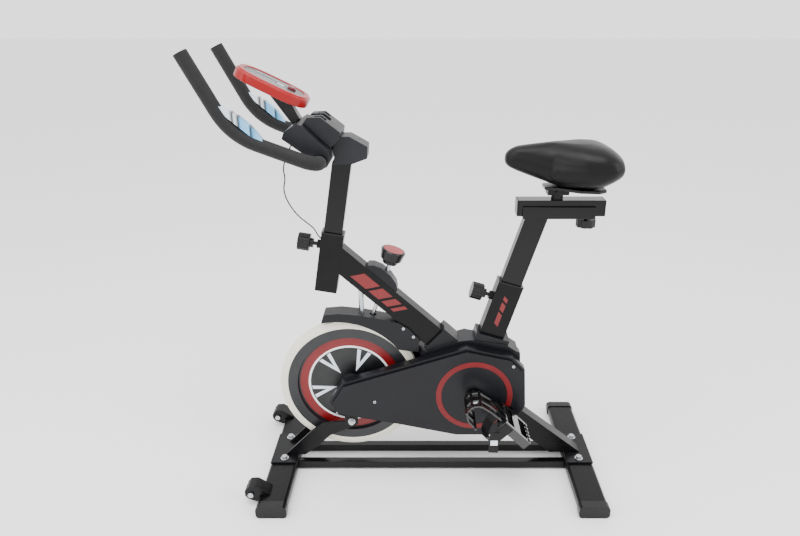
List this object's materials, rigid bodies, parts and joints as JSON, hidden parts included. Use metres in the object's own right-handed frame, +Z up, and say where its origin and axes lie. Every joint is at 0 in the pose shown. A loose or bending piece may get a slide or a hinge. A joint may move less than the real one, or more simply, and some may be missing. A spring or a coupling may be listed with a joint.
{
  "type": "exercise bike",
  "caption": "Upright indoor cycle with a belt-driven flywheel, bull-horn bars, height-adjustable saddle and bars, tilted console and two floor stabilisers.",
  "frame": {"origin": "on the floor, at the centre of the bounding box seen from above", "axes": "+X from the handlebar towards the saddle, +Y towards the right foot (away from the belt side), +Z up"},
  "size_m": [0.9938, 0.48, 1.1273],
  "materials": {
    "frame_black": "semi-gloss powder coat",
    "post_black": "gloss powder coat",
    "fork_black": "satin powder coat",
    "cover_plastic": "fine-textured moulded plastic",
    "housing_plastic": "fine-textured moulded plastic",
    "black_plastic": "moulded plastic",
    "red_plastic": "satin moulded plastic",
    "ring_red": "satin moulded plastic",
    "dark_button": "soft gloss",
    "steel_bright": "zinc plated",
    "steel_dark": "oiled",
    "flywheel_iron": "painted web, turned rim",
    "belt_rubber": "ribbed",
    "foam": "closed-cell foam",
    "pad_cover": "smooth vinyl",
    "strap_plastic": "flexible",
    "pulse_film": "film over polished steel",
    "wheel_rubber": "hard",
    "crank_black": "gloss",
    "cable_black": "smooth"
  },
  "bodies": {
    "frame": {"main_tube": "frame_black", "head_sleeve": "frame_black", "seat_sleeve": "frame_black", "post_bushes": "black_plastic", "rear_leg": "frame_black", "bottom_bracket": "frame_black", "bearings": "steel_bright", "floor_bars": "post_black", "stabiliser_brackets": "frame_black", "fork_plates": "fork_black", "stabilisers": "frame_black", "stabiliser_caps": "black_plastic", "frame_bolts": "steel_bright", "wheel_brackets": "fork_black", "wheel_bolts": "steel_bright", "flywheel_guard": "cover_plastic", "cover_screws": "steel_bright", "belt": "belt_rubber", "cover_left": "cover_plastic", "cover_right": "cover_plastic", "cover_top": "cover_plastic", "cover_rings": "ring_red", "tension_housing": "housing_plastic", "sensor_post": "steel_bright", "sensor_cable": "cable_black"},
    "flywheel": {"flywheel": "flywheel_iron", "flywheel_axle": "steel_bright", "flywheel_pulley": "steel_dark"},
    "crank": {"crank_axle": "steel_bright", "drive_pulley": "black_plastic", "crank_arms": "crank_black", "pedal_spindles": "steel_bright"},
    "left_pedal": {"pedal_left": "black_plastic", "strap_left": "strap_plastic"},
    "right_pedal": {"pedal_right": "black_plastic", "strap_right": "strap_plastic"},
    "left_wheel": {"wheel_left": "wheel_rubber"},
    "right_wheel": {"wheel_right": "wheel_rubber"},
    "bars": {"handlebar_post": "post_black", "handlebar": "frame_black", "handlebar_grips": "foam", "head_cover": "cover_plastic", "bar_shell": "housing_plastic", "device_holder": "housing_plastic", "console_post": "black_plastic", "console_bezel": "red_plastic", "console_face": "housing_plastic", "pulse_plates": "pulse_film"},
    "button": {"console_button": "dark_button"},
    "post": {"seat_post": "post_black"},
    "saddle": {"slider_tube": "post_black", "slider_caps": "black_plastic", "saddle_clamp": "fork_black", "saddle_base": "black_plastic", "saddle_pad": "pad_cover"},
    "post_knob_head": {"head_knob": "black_plastic"},
    "post_knob_seat": {"seat_knob": "black_plastic"},
    "post_knob_slider": {"slider_knob": "black_plastic"},
    "brake": {"brake_rod": "steel_bright"},
    "knob": {"tension_knob": "red_plastic"}
  },
  "joints": [
    {"name": "flywheel_spin", "type": "hinge", "parent": "frame", "child": "flywheel", "pos_m": [-0.17307, 0, 0.2525], "axis": [0, 1, 0], "continuous": true},
    {"name": "crank_spin", "type": "hinge", "parent": "frame", "child": "crank", "pos_m": [0.15925, 0, 0.25], "axis": [0, 1, 0], "continuous": true},
    {"name": "left_pedal_spin", "type": "hinge", "parent": "crank", "child": "left_pedal", "pos_m": [0.25442, 0, 0.20563], "axis": [0, 1, 0], "continuous": true},
    {"name": "right_pedal_spin", "type": "hinge", "parent": "crank", "child": "right_pedal", "pos_m": [0.06409, 0, 0.29437], "axis": [0, 1, 0], "continuous": true},
    {"name": "left_wheel_spin", "type": "hinge", "parent": "frame", "child": "left_wheel", "pos_m": [-0.42175, 0, 0.035], "axis": [0, 1, 0], "continuous": true},
    {"name": "right_wheel_spin", "type": "hinge", "parent": "frame", "child": "right_wheel", "pos_m": [-0.42175, 0, 0.035], "axis": [0, 1, 0], "continuous": true},
    {"name": "handlebar_height", "type": "slide", "parent": "frame", "child": "bars", "axis": [0.165, 0, 0.9863], "range_m": [-0.07, 0.04], "deforming": ["sensor_cable"]},
    {"name": "console_button_press", "type": "slide", "parent": "bars", "child": "button", "axis": [-0.4384, 0, -0.8988], "range_m": [0, 0.0015], "stiffness_N_per_m": 400},
    {"name": "seat_height", "type": "slide", "parent": "frame", "child": "post", "axis": [0.294, 0, 0.9558], "range_m": [-0.11, 0.06]},
    {"name": "seat_fore_aft", "type": "slide", "parent": "post", "child": "saddle", "axis": [1, 0, 0], "range_m": [-0.04, 0.04]},
    {"name": "head_knob_turn", "type": "hinge", "parent": "frame", "child": "post_knob_head", "pos_m": [-0.20602, 0, 0.64948], "axis": [-0.9863, 0, 0.165], "range_deg": [-180, 180]},
    {"name": "seat_knob_turn", "type": "hinge", "parent": "frame", "child": "post_knob_seat", "pos_m": [0.2339, 0, 0.50403], "axis": [-0.9558, 0, 0.294], "range_deg": [-180, 180]},
    {"name": "slider_knob_turn", "type": "hinge", "parent": "post", "child": "post_knob_slider", "pos_m": [0.42697, 0, 0.7253], "axis": [0, 0, -1], "range_deg": [-180, 180]},
    {"name": "brake_push", "type": "slide", "parent": "frame", "child": "brake", "axis": [-0.3024, 0, -0.9532], "range_m": [0, 0.0072], "stiffness_N_per_m": 2500},
    {"name": "tension_turn", "type": "hinge", "parent": "brake", "child": "knob", "pos_m": [-0.17307, 0, 0.2525], "axis": [0.3024, 0, 0.9532], "range_deg": [-180, 180]}
  ],
  "couplings": [
    {"joint": "crank_spin", "follows": "flywheel_spin", "ratio": 0.25}
  ]
}
